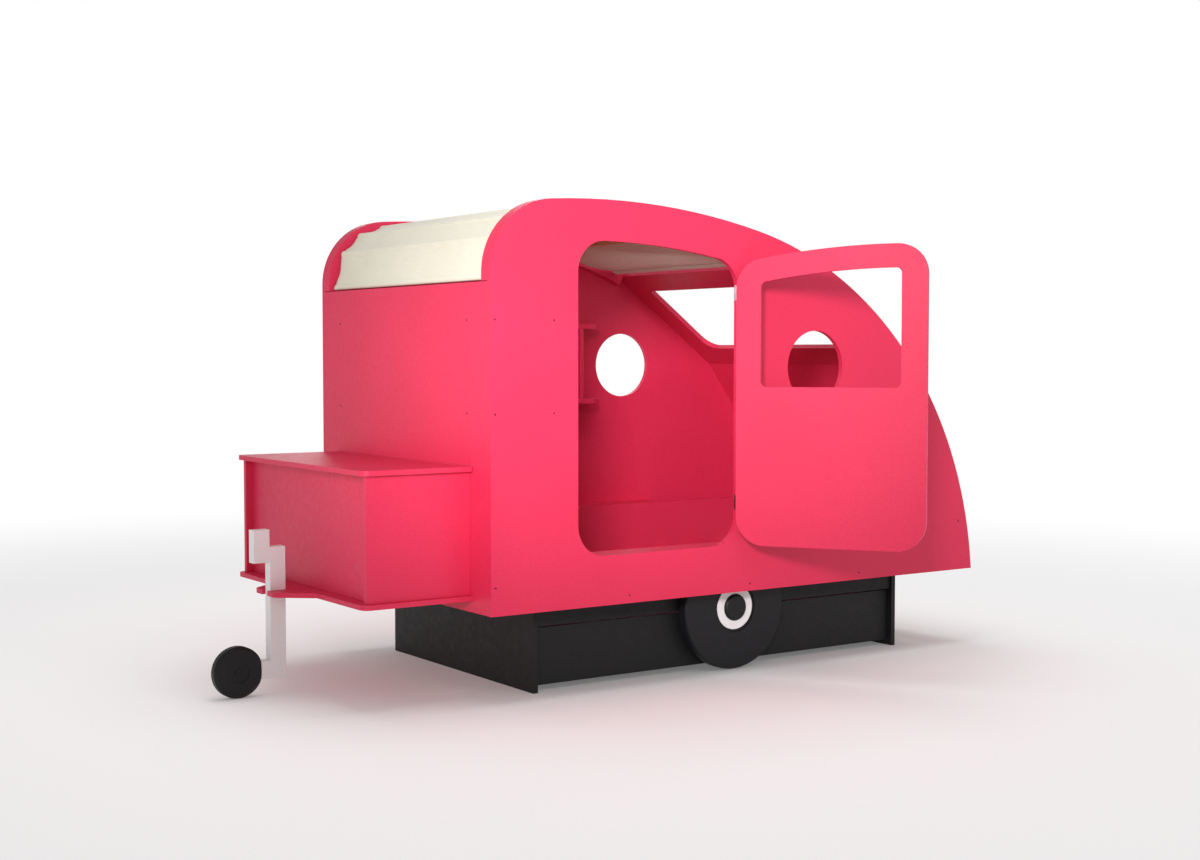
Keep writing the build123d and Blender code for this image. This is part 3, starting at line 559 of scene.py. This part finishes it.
@dataclass
class Boards:
    """Rigid CAD pieces that get a finish and rounded-over edges."""

    nodes: tuple[str, ...]
    coat: Coat
    edge_mm: float
    segments: int = 2

    def dress(self, smooth: Any) -> None:
        """Coat each piece and soften its edges.

        Args:
            smooth: The tree that shades a surface smooth except at its sharp edges.
        """
        for name in self.nodes:
            piece = NODES[name]
            for slot in piece.material_slots:
                slot.material = coated(self.coat)
            weld = piece.modifiers.new("weld", "WELD")
            weld.merge_threshold = 0.01 * MM
            flat = piece.modifiers.new("flat", "DECIMATE")
            flat.decimate_type = "DISSOLVE"
            flat.angle_limit = radians(0.6)
            if self.edge_mm:
                edge = piece.modifiers.new("edge", "BEVEL")
                edge.width = self.edge_mm * MM
                edge.segments = self.segments
                edge.limit_method = "ANGLE"
                edge.angle_limit = radians(34.0)
                edge.use_clamp_overlap = True
                edge.harden_normals = False
            shade = piece.modifiers.new("shade", "NODES")
            shade.node_group = smooth
            flats = piece.modifiers.new("flats", "WEIGHTED_NORMAL")
            flats.weight = 100
            flats.keep_sharp = True
        LOG.info("%s: %s", self.coat.slot, ", ".join(self.nodes))


class CabinShell:
    """The body's boards, the ribs and the shelves."""

    def dress(self, smooth: Any) -> None:
        """Coat the boards; MDF edges are eased about 1.5 mm before they are sprayed."""
        panels = ("side_panel_near", "side_panel_far", "front_panel", "rear_window_panel")
        tails = tuple(f"tail_board_{i}" for i in range(1, 5))
        Boards(panels + tails, Coat.CORAL_LACQUER, 1.5).dress(smooth)
        Boards(("roof_rib_near", "roof_rib_far"), Coat.CORAL_LACQUER, 2.0).dress(smooth)
        shelves = ("shelf_near_lower", "shelf_near_upper", "shelf_far_lower", "shelf_far_upper")
        Boards(shelves + ("shelf_divider",), Coat.CORAL_LACQUER, 1.5).dress(smooth)


class BedBox:
    """Rails, ledges and the slatted floor."""

    def dress(self, smooth: Any) -> None:
        """Coat the boards and oil the wood."""
        boards = ("bed_rail_near", "bed_rail_far", "bed_ledge_near", "bed_ledge_far", "side_spacers")
        Boards(boards, Coat.CORAL_LACQUER, 1.5).dress(smooth)
        Boards(("bed_slats",), Coat.SLAT_WOOD, 1.8).dress(smooth)
        Boards(("slat_cleats", "roof_rods"), Coat.SLAT_WOOD, 1.0).dress(smooth)


class Base:
    """The fixed grey base with the far wheel."""

    def dress(self, smooth: Any) -> None:
        """Coat the boards and the wheel."""
        boards = ("base_end_front", "base_end_rear", "base_rail_near", "base_rail_far",
                  "base_plinth_far", "far_wheel_block")
        Boards(boards, Coat.BASE_GREY, 1.2).dress(smooth)
        SideWheel("far").dress(smooth)


class Trundle:
    """The drawer with its castors and the near wheel on its front."""

    def dress(self, smooth: Any) -> None:
        """Coat the boards, the castors and the wheel."""
        boards = ("drawer_front", "drawer_back", "drawer_sides", "drawer_bottom", "near_wheel_block")
        Boards(boards, Coat.BASE_GREY, 1.2).dress(smooth)
        Boards(("castor_forks",), Coat.STEEL, 0.4).dress(smooth)
        Boards(tuple(f"castor_roller_{i}" for i in range(1, 5)), Coat.CASTOR_PLASTIC, 2.0).dress(smooth)
        SideWheel("near").dress(smooth)


@dataclass
class SideWheel:
    """A disc wheel: black tyre, white ring and black hub."""

    side: str

    def dress(self, smooth: Any) -> None:
        """Coat the wheel's pieces."""
        Boards((f"{self.side}_wheel_tyre",), Coat.BLACK_LACQUER, 1.5).dress(smooth)
        Boards((f"{self.side}_wheel_hub",), Coat.BLACK_LACQUER, 1.0).dress(smooth)
        Boards((f"{self.side}_wheel_ring",), Coat.WHITE_LACQUER, 1.6, 3).dress(smooth)


class ToolBox:
    """The box at the front, its tongue and lid, and the post with the jockey wheel."""

    def dress(self, smooth: Any) -> None:
        """Coat the boards, the post and the wheel."""
        boards = ("toolbox_side_near", "toolbox_side_far", "toolbox_front", "toolbox_plate",
                  "toolbox_lid")
        Boards(boards, Coat.CORAL_LACQUER, 1.5).dress(smooth)
        Boards(("jockey_post",), Coat.WHITE_LACQUER, 0.0).dress(smooth)
        Boards(("jockey_wheel",), Coat.BLACK_LACQUER, 1.0).dress(smooth)


class Doorway:
    """The door leaf and all four hinges."""

    def dress(self, smooth: Any) -> None:
        """Coat the leaf and plate the hinges."""
        Boards(("door_leaf",), Coat.CORAL_LACQUER, 1.5).dress(smooth)
        leaves = ("door_hinge_frame_leaves", "door_hinge_door_leaves")
        lids = ("lid_hinge_frame_leaves", "lid_hinge_lid_leaves")
        Boards(leaves + lids, Coat.STEEL, 0.2).dress(smooth)
        Boards(("hinge_pins",), Coat.STEEL, 0.2).dress(smooth)


@dataclass
class Station:
    """One point of the canvas's section with what happens to the cloth there."""

    x: float
    z: float
    along: float
    slack: float


@dataclass
class Canopy:
    """Cotton roof stretched over the rods, with its hems sewn round the end rods."""

    cloth: float = 1.4 * MM
    gap: float = 0.35 * MM
    sag_front: float = 7.0 * MM
    sag_roof: float = 26.0 * MM
    long_span: float = 250.0 * MM
    hem_turn: float = radians(200.0)
    pocket: float = 15.0 * MM
    side_hem: float = 24.0 * MM
    pull_in: float = 7.0 * MM
    ripple: float = 2.2 * MM
    drag: float = 1.8 * MM
    seam_depth: float = 1.9 * MM
    seam_width: float = 4.0 * MM
    pucker: float = 0.35 * MM
    pucker_pitch: float = 7.0 * MM
    hem_lift: float = 0.7 * MM
    step: float = 5.0 * MM
    across: int = 130
    flap_steps: int = 6
    bare_ends: int = 14
    rod_apart: float = 30.0 * MM
    stitch_pitch: float = 7.0 * MM
    stitch_length: float = 2.4 * MM
    thread_radius: float = 0.45 * MM

    def rods(self) -> list[tuple[float, float, float]]:
        """Find the rods in the frame.

        Returns:
            X, Z and radius of each rod, from the front of the roof to its rear.
        """
        groups: list[list[Vector]] = []
        for vertex in NODES["roof_rods"].data.vertices:
            for group in groups:
                if (group[0].xz - vertex.co.xz).length < self.rod_apart:
                    group.append(vertex.co)
                    break
            else:
                groups.append([vertex.co])
        rods = []
        for group in groups:
            xs = [p.x for p in group]
            zs = [p.z for p in group]
            rods.append(((min(xs) + max(xs)) / 2, (min(zs) + max(zs)) / 2, (max(xs) - min(xs)) / 2))
        return sorted(rods)

    def hollow(self, a: tuple, b: tuple) -> tuple[Vector, float]:
        """Centre and radius of the cloth's hollow between two rods.

        Args:
            a: X, Z and radius of the rod in front.
            b: The same of the rod behind.

        Returns:
            The hollow's centre, outside the roof, and the radius of the cloth's middle.
        """
        lift = self.gap + self.cloth / 2
        ra, rb = a[2] + lift, b[2] + lift
        ab = Vector((b[0] - a[0], b[1] - a[1]))
        width = ab.length
        sag = self.sag_roof if width > self.long_span else self.sag_front
        radius = (width * width / 4 + sag * sag) / (2 * sag) - (ra + rb) / 2
        da, db = radius + ra, radius + rb
        along = (da * da - db * db + width * width) / (2 * width)
        off = sqrt(da * da - along * along)
        way = ab / width
        centre = Vector((a[0], a[1])) + way * along + Vector((-way.y, way.x)) * off
        return centre, radius

    def section(self) -> tuple[list[Station], list[float]]:
        """Work out the canvas's section from hem to hem.

        Returns:
            The stations, and the length along the cloth at each rod.
        """
        rods = self.rods()
        lift = self.gap + self.cloth / 2
        hollows = [self.hollow(a, b) for a, b in zip(rods, rods[1:])]
        stations: list[Station] = []
        marks: list[float] = []

        def put(point: Vector, slack: float) -> None:
            """Add a station at a point of X and Z."""
            if stations:
                last = Vector((stations[-1].x, stations[-1].z))
                along = stations[-1].along + (point - last).length
                if (point - last).length < 0.2 * MM:
                    return
            else:
                along = 0.0
            stations.append(Station(point.x, point.y, along, slack))

        def bend(centre: Vector, radius: float, start: float, end: float, slack: bool) -> None:
            """Add the stations of one arc, clockwise or not as its ends say."""
            count = max(4, round(abs(end - start) * radius / self.step))
            for i in range(count + 1):
                share = i / count
                angle = start + (end - start) * share
                reach = Vector((cos(angle), sin(angle))) * radius
                put(centre + reach, 4 * share * (1 - share) if slack else 0.0)

        def facing(rod: tuple, centre: Vector) -> float:
            """Angle from a rod's centre to a hollow's centre."""
            return atan2(centre.y - rod[1], centre.x - rod[0])

        def flap(rod: tuple, angle: float, side: float) -> list[Vector]:
            """Ends of the hem's straight flap: at the sleeve and where it is sewn down."""
            radius = rod[2] + lift
            tilt = self.hem_turn - pi
            length = (radius * (1 + cos(tilt)) - self.cloth * 1.2) / sin(tilt)
            start = Vector((rod[0], rod[1])) + Vector((cos(angle), sin(angle))) * radius
            way = Vector((-sin(angle), cos(angle))) * side
            return [start, start + way * length]

        first = facing(rods[0], hollows[0][0])
        near = flap(rods[0], first + self.hem_turn, 1.0)
        for i in range(self.flap_steps):
            put(near[1].lerp(near[0], i / self.flap_steps), 0.0)
        bend(Vector(rods[0][:2]), rods[0][2] + lift, first + self.hem_turn, first, False)
        marks.append(stations[-1].along)
        for i, (centre, radius) in enumerate(hollows):
            a, b = rods[i], rods[i + 1]
            start = atan2(a[1] - centre.y, a[0] - centre.x)
            end = atan2(b[1] - centre.y, b[0] - centre.x)
            if end < start:
                end += 2 * pi
            bend(centre, radius, start, end, True)
            last = i == len(hollows) - 1
            leave = facing(b, centre) if last else facing(b, hollows[i + 1][0])
            arrive = facing(b, centre)
            marks.append(stations[-1].along + (arrive - leave) * (b[2] + lift) / 2)
            turn = arrive - self.hem_turn if last else leave
            bend(Vector(b[:2]), b[2] + lift, arrive, turn, False)
        far = flap(rods[-1], stations_angle(rods[-1], stations[-1]), -1.0)
        for i in range(1, self.flap_steps + 1):
            put(far[0].lerp(far[1], i / self.flap_steps), 0.0)
        return stations, marks

    def surface(self, stations: list[Station], marks: list[float]) -> tuple[list, list, list]:
        """Lay the cloth out as a grid of points.

        Args:
            stations: The section.
            marks: Length along the cloth at each rod.

        Returns:
            Rows of points, of outward normals, and of places on the flat cloth.
        """
        half = self.half_width()
        rows, normals, flats = [], [], []
        for i, station in enumerate(stations):
            before, after = stations[max(i - 1, 0)], stations[min(i + 1, len(stations) - 1)]
            way = Vector((after.x - before.x, 0, after.z - before.z)).normalized()
            out = Vector((-way.z, 0, way.x))
            row, flat = [], []
            for j in range(self.across + 1):
                share = 2 * j / self.across - 1
                y = share * half
                pull = self.pull_in * station.slack * abs(share) ** 3
                lift = self.relief(station, marks, y, half)
                point = Vector((station.x, y - pull * (1 if y > 0 else -1), station.z)) + out * lift
                row.append(point)
                flat.append((y, station.along))
            rows.append(row)
            normals.append(out)
            flats.append(flat)
        return rows, normals, flats

    def half_width(self) -> float:
        """Half of the cloth's width, from the frame's canvas."""
        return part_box("roof_canvas")[1].y

    def relief(self, station: Station, marks: list[float], y: float, half: float) -> float:
        """Height of the cloth's wrinkles and seams over its section.

        Args:
            station: Where on the section.
            marks: Length along the cloth at each rod.
            y: Distance from the centre plane.
            half: Half of the cloth's width.

        Returns:
            The height in metres.
        """
        edge = (half - abs(y)) / half
        ripple = noise.noise(Vector((y * 9, station.along * 26, 1.7)))
        drag = noise.noise(Vector((y * 24 + station.along * 10, station.along * 7 - y * 6, 8.3)))
        height = station.slack * (self.ripple * ripple + self.drag * drag * (1.2 - edge))
        for mark in marks:
            for side in (-1, 1):
                off = (station.along - mark - side * self.pocket) / self.seam_width
                if abs(off) < 4:
                    wave = sin(y / self.pucker_pitch + 3 * noise.noise(Vector((y * 30, mark, side))))
                    height -= (self.seam_depth + self.pucker * wave) * exp(-off * off)
        if half - abs(y) < self.side_hem:
            height += self.hem_lift
        return height

    def build(self) -> None:
        """Make the canvas and its stitches, and hand them to the frame."""
        stations, marks = self.section()
        rows, normals, flats = self.surface(stations, marks)
        points = [p for row in rows for p in row]
        wide = self.across + 1
        faces = [
            (i * wide + j, i * wide + j + 1, (i + 1) * wide + j + 1, (i + 1) * wide + j)
            for i in range(len(rows) - 1)
            for j in range(self.across)
        ]
        mesh = mesh_of("roof_cloth", points, [], faces)
        places = [place for row in flats for place in row]
        uv = mesh.uv_layers.new(name="cloth")
        for loop in mesh.loops:
            uv.data[loop.index].uv = places[loop.vertex_index]
        mesh.shade_smooth()
        cloth = placed("roof_cloth", mesh)
        thick = cloth.modifiers.new("cloth", "SOLIDIFY")
        thick.thickness = self.cloth
        thick.offset = 0.0
        cloth.data.materials.append(coated(Coat.CANVAS_CREAM))
        stitches = self.stitches(stations, rows, normals, marks)
        for piece in (cloth, stitches):
            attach(piece, "caravan")
        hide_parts("roof_canvas")

    def stitches(
        self, stations: list[Station], rows: list, normals: list, marks: list
    ) -> bpy.types.Object:
        """Sew the pocket seams and the side hems.

        Args:
            stations: The section.
            rows: The cloth's rows of points.
            normals: Its outward normals by row.
            marks: Length along the cloth at each rod.

        Returns:
            The stitches as one piece.
        """
        points: list[Vector] = []
        edges: list[tuple[int, int]] = []
        lift = self.cloth / 2 + 0.1 * MM

        def sew(line: list[Vector]) -> None:
            """Add one seam's line."""
            start = len(points)
            points.extend(line)
            edges.extend((start + i, start + i + 1) for i in range(len(line) - 1))

        for mark in marks:
            for side in (-1, 1):
                target = mark + side * self.pocket
                if not stations[8].along < target < stations[-8].along:
                    continue
                i = min(range(len(stations)), key=lambda k: abs(stations[k].along - target))
                sew([p + normals[i] * lift for p in rows[i][1:-1]])
        inset = max(1, round((self.side_hem - 3 * MM) / (2 * self.half_width() / self.across)))
        for j in (inset, self.across - inset):
            sew([row[j] + normals[i] * lift for i, row in enumerate(rows)
                 if self.bare_ends < i < len(rows) - self.bare_ends])
        tree, ids = stitch_tree()
        seed = placed("seams", mesh_of("seams", points, edges, []))
        values = {"Pitch": self.stitch_pitch, "Thread Radius": self.thread_radius,
                  "Stitch Length": self.stitch_length, "Material": coated(Coat.CANVAS_CREAM)}
        return grown("roof_stitches", seed, tree, ids, values)


def stations_angle(rod: tuple, station: Station) -> float:
    """Angle from a rod's centre to a station of the cloth."""
    return atan2(station.z - rod[1], station.x - rod[0])


class Reach(Enum):
    """What a light is flagged to, with the state that its floor link takes."""

    BED = "EXCLUDE"
    FLOOR = "INCLUDE"


@dataclass(frozen=True)
class Softbox:
    """A soft square light aimed at the bed."""

    name: str
    place: tuple[float, float, float]
    size: float
    watts: float
    reach: Reach = Reach.BED


@dataclass(frozen=True)
class Spot:
    """A spot that fades softly to the edge of its cone."""

    name: str
    place: tuple[float, float, float]
    aim: tuple[float, float, float]
    watts: float


@dataclass
class Studio:
    """Pale floor, soft light and the camera.

    The floor has a light of its own, and the others are flagged off it, so its shadows stay
    soft while the key models the bed.
    """

    floor_radius: float = 40.0
    eye: tuple[float, float, float] = (-2.8286, -4.9734, 1.0893)
    turn: float = 34.374
    dip: float = 2.661
    lens: float = 50.32
    ambient: float = 0.55
    fade_from: float = 1.4
    fade_to: float = 6.5
    # Share of painted white glow mixed into the floor near the bed, lifting its shadows.
    near_glow_share: float = 0.14
    middle: tuple[float, float, float] = (0.6, 0.0, 0.7)
    cone: float = 33.0
    spot_radius: float = 0.45
    spots: tuple[Spot, ...] = (
        Spot("key", (-2.9, -4.4, 2.3), (0.3, -0.7, 1.42), 1380.0),
        Spot("kicker", (-1.9, -1.9, 1.25), (-0.23, -0.42, 0.9), 175.0),
    )
    softboxes: tuple[Softbox, ...] = (
        Softbox("fill", (1.5, -4.0, 2.5), 1.5, 16.0),
        Softbox("back", (2.6, 4.6, 3.2), 2.4, 55.0),
        Softbox("cabin", (0.45, -0.1, 1.36), 0.5, 3.2),
        Softbox("wash", (0.6, 0.0, 4.5), 3.5, 108.0, Reach.FLOOR),
    )

    def floor(self) -> None:
        """Lay the floor; it fades to white where the photograph's backdrop does."""
        rings = 64
        points = [(0.0, 0.0, 0.0)] + [
            (self.floor_radius * cos(2 * pi * i / rings), self.floor_radius * sin(2 * pi * i / rings), 0.0)
            for i in range(rings)
        ]
        faces = [(0, 1 + i, 1 + (i + 1) % rings) for i in range(rings)]
        floor = placed("floor", mesh_of("floor", points, [], faces))
        floor.data.materials.append(self.paper())

    def paper(self) -> bpy.types.Material:
        """White backdrop paper: matt and faintly fibrous, with a painted glow: a share of white emission
        everywhere, which lifts the floor and its shadows near the bed and grows to pure white far away.
        """
        material = bpy.data.materials.new("backdrop paper")
        material.use_nodes = True
        tree = material.node_tree
        shader = tree.nodes["Principled BSDF"]
        coord = add_node(tree, "ShaderNodeTexCoord").outputs["Object"]
        tone = uneven(tree, coord, 8.0, 0.0, 1.0)
        tree.links.new(
            blend_colours(tree, tone, linear("#FBFBFB"), linear("#F8F8F8")), shader.inputs["Base Color"]
        )
        shader.inputs["Roughness"].default_value = 0.9
        shader.inputs["Specular IOR Level"].default_value = 0.1
        reach = add_node(tree, "ShaderNodeVectorMath", {"operation": "LENGTH"}, {0: coord})
        far = add_node(
            tree, "ShaderNodeMapRange",
            {"interpolation_type": "SMOOTHSTEP", "From Min": self.fade_from, "From Max": self.fade_to,
             "To Min": self.near_glow_share},
            {"Value": reach.outputs["Value"]},
        )
        # Painted glow: white emission mixed into the paper, a small share near the bed that lifts its
        # shadows, all of it far away.
        glow = add_node(tree, "ShaderNodeEmission", {"Color": (1, 1, 1, 1), "Strength": 1.0})
        mix = add_node(
            tree, "ShaderNodeMixShader", {},
            {0: far.outputs["Result"], 1: shader.outputs["BSDF"], 2: glow.outputs["Emission"]},
        )
        tree.links.new(mix.outputs["Shader"], tree.nodes["Material Output"].inputs["Surface"])
        return material

    def hang(self, lamp_data: bpy.types.Light, place: tuple, aim: tuple, reach: Reach) -> None:
        """Hang a light, out of the camera's sight.

        Args:
            lamp_data: The light.
            place: Where it hangs, in metres.
            aim: Where it points, in metres.
            reach: What it lights.
        """
        lamp = bpy.data.objects.new(lamp_data.name, lamp_data)
        lamp.location = place
        lamp.rotation_euler = (Vector(aim) - Vector(place)).to_track_quat("-Z", "Y").to_euler()
        bpy.context.scene.collection.objects.link(lamp)
        lamp.visible_camera = False
        lamp.light_linking.receiver_collection = self.receivers(reach)

    def receivers(self, reach: Reach) -> bpy.types.Collection:
        """Give the collection that a flagged light reaches, made once.

        Args:
            reach: What the light reaches.

        Returns:
            The floor's collection, with the floor shut out or alone.
        """
        name = f"floor {reach.value.lower()}"
        if name not in bpy.data.collections:
            group = bpy.data.collections.new(name)
            group.objects.link(bpy.data.objects["floor"])
            group.collection_objects[0].light_linking.link_state = reach.value
        return bpy.data.collections[name]

    def softbox(self, box: Softbox) -> None:
        """Hang a softbox, aimed at the middle of the bed."""
        data = bpy.data.lights.new(box.name, "AREA")
        data.size = box.size
        data.energy = box.watts
        self.hang(data, box.place, self.middle, box.reach)

    def spot(self, spot: Spot) -> None:
        """Hang a spot on the bed."""
        data = bpy.data.lights.new(spot.name, "SPOT")
        data.energy = spot.watts
        data.spot_size = radians(self.cone)
        data.spot_blend = 1.0
        data.shadow_soft_size = self.spot_radius
        self.hang(data, spot.place, spot.aim, Reach.BED)

    def surroundings(self) -> None:
        """Surround the bed with white that shows full but lights the bed more softly."""
        world = bpy.data.worlds.new("white surroundings")
        world.use_nodes = True
        tree = world.node_tree
        sky = tree.nodes["Background"]
        sky.inputs["Color"].default_value = (1, 1, 1, 1)
        seen = add_node(tree, "ShaderNodeLightPath").outputs["Is Camera Ray"]
        strength = add_node(
            tree, "ShaderNodeMapRange", {"To Min": self.ambient, "To Max": 1.0}, {"Value": seen}
        )
        tree.links.new(strength.outputs["Result"], sky.inputs["Strength"])
        bpy.context.scene.world = world

    def build(self) -> None:
        """Set up the floor, the lights, the surroundings and the camera."""
        self.floor()
        for spot in self.spots:
            self.spot(spot)
        for box in self.softboxes:
            self.softbox(box)
        self.surroundings()
        data = bpy.data.cameras.new("camera")
        data.sensor_width = 36.0
        data.sensor_fit = "HORIZONTAL"
        data.lens = self.lens
        data.clip_end = 200.0
        camera = bpy.data.objects.new("camera", data)
        camera.location = self.eye
        camera.rotation_euler = (radians(90.0 - self.dip), 0.0, radians(-self.turn))
        bpy.context.scene.collection.objects.link(camera)
        bpy.context.scene.camera = camera
        bpy.context.scene.view_settings.view_transform = "Standard"
        LOG.info("studio ready")


@dataclass
class PanelScrews:
    """Socket-head screws that stand for the heads in the side and front panels.

    They stand 0.15 mm proud, because the open lid stops 0.3 mm from the front panel.
    """

    radius: float = 3.2 * MM
    height: float = 0.13 * MM
    seat: float = 0.02 * MM
    socket_share: float = 0.55
    socket_depth: float = 1.6 * MM
    apart: float = 12.0 * MM
    side_from: float = 500.0 * MM

    def build(self) -> None:
        """Put a head on the outer face of each screw of the frame."""
        centres = self.heads()
        seed_mesh = mesh_of("screw_places", [c for c, _ in centres], [], [])
        facing = seed_mesh.attributes.new("facing", "FLOAT_VECTOR", "POINT")
        for item, (_, way) in zip(facing.data, centres):
            item.vector = way
        tree, ids = socket_screw_tree()
        values = {"Head Radius": self.radius, "Head Height": self.height,
                  "Socket Share": self.socket_share, "Socket Depth": self.socket_depth,
                  "Material": coated(Coat.BLACK_LACQUER)}
        screws = grown("panel_screw_heads", placed("screw_places", seed_mesh), tree, ids, values)
        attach(screws, "caravan")
        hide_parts("panel_screws")
        LOG.info("screws: %d heads", len(centres))

    def heads(self) -> list[tuple[Vector, Vector]]:
        """Find each screw's outer end in the frame.

        Returns:
            The end's centre and the way it faces, for each screw.
        """
        groups: list[list[Vector]] = []
        for vertex in NODES["panel_screws"].data.vertices:
            for group in groups:
                if (group[0] - vertex.co).length < self.apart:
                    group.append(vertex.co)
                    break
            else:
                groups.append([vertex.co])
        found = []
        for group in groups:
            low = Vector([min(p[i] for p in group) for i in range(3)])
            high = Vector([max(p[i] for p in group) for i in range(3)])
            middle = (low + high) / 2
            if abs(middle.y) > self.side_from:
                side = 1 if middle.y > 0 else -1
                end = Vector((middle.x, high.y if side > 0 else low.y, middle.z))
                found.append((end + Vector((0, side * self.seat, 0)), Vector((0, side, 0))))
            else:
                end = Vector((low.x - self.seat, middle.y, middle.z))
                found.append((end, Vector((-1, 0, 0))))
        return found


def main() -> None:
    """Build the studio, dress the frame and add what the frame leaves to the looks."""
    logging.basicConfig(level=logging.INFO, format="%(name)s: %(message)s")
    Studio().build()
    smooth = smooth_tree()
    for part in (CabinShell(), BedBox(), Base(), Trundle(), ToolBox(), Doorway()):
        part.dress(smooth)
    Canopy().build()
    PanelScrews().build()


if __name__ == "__main__":
    main()
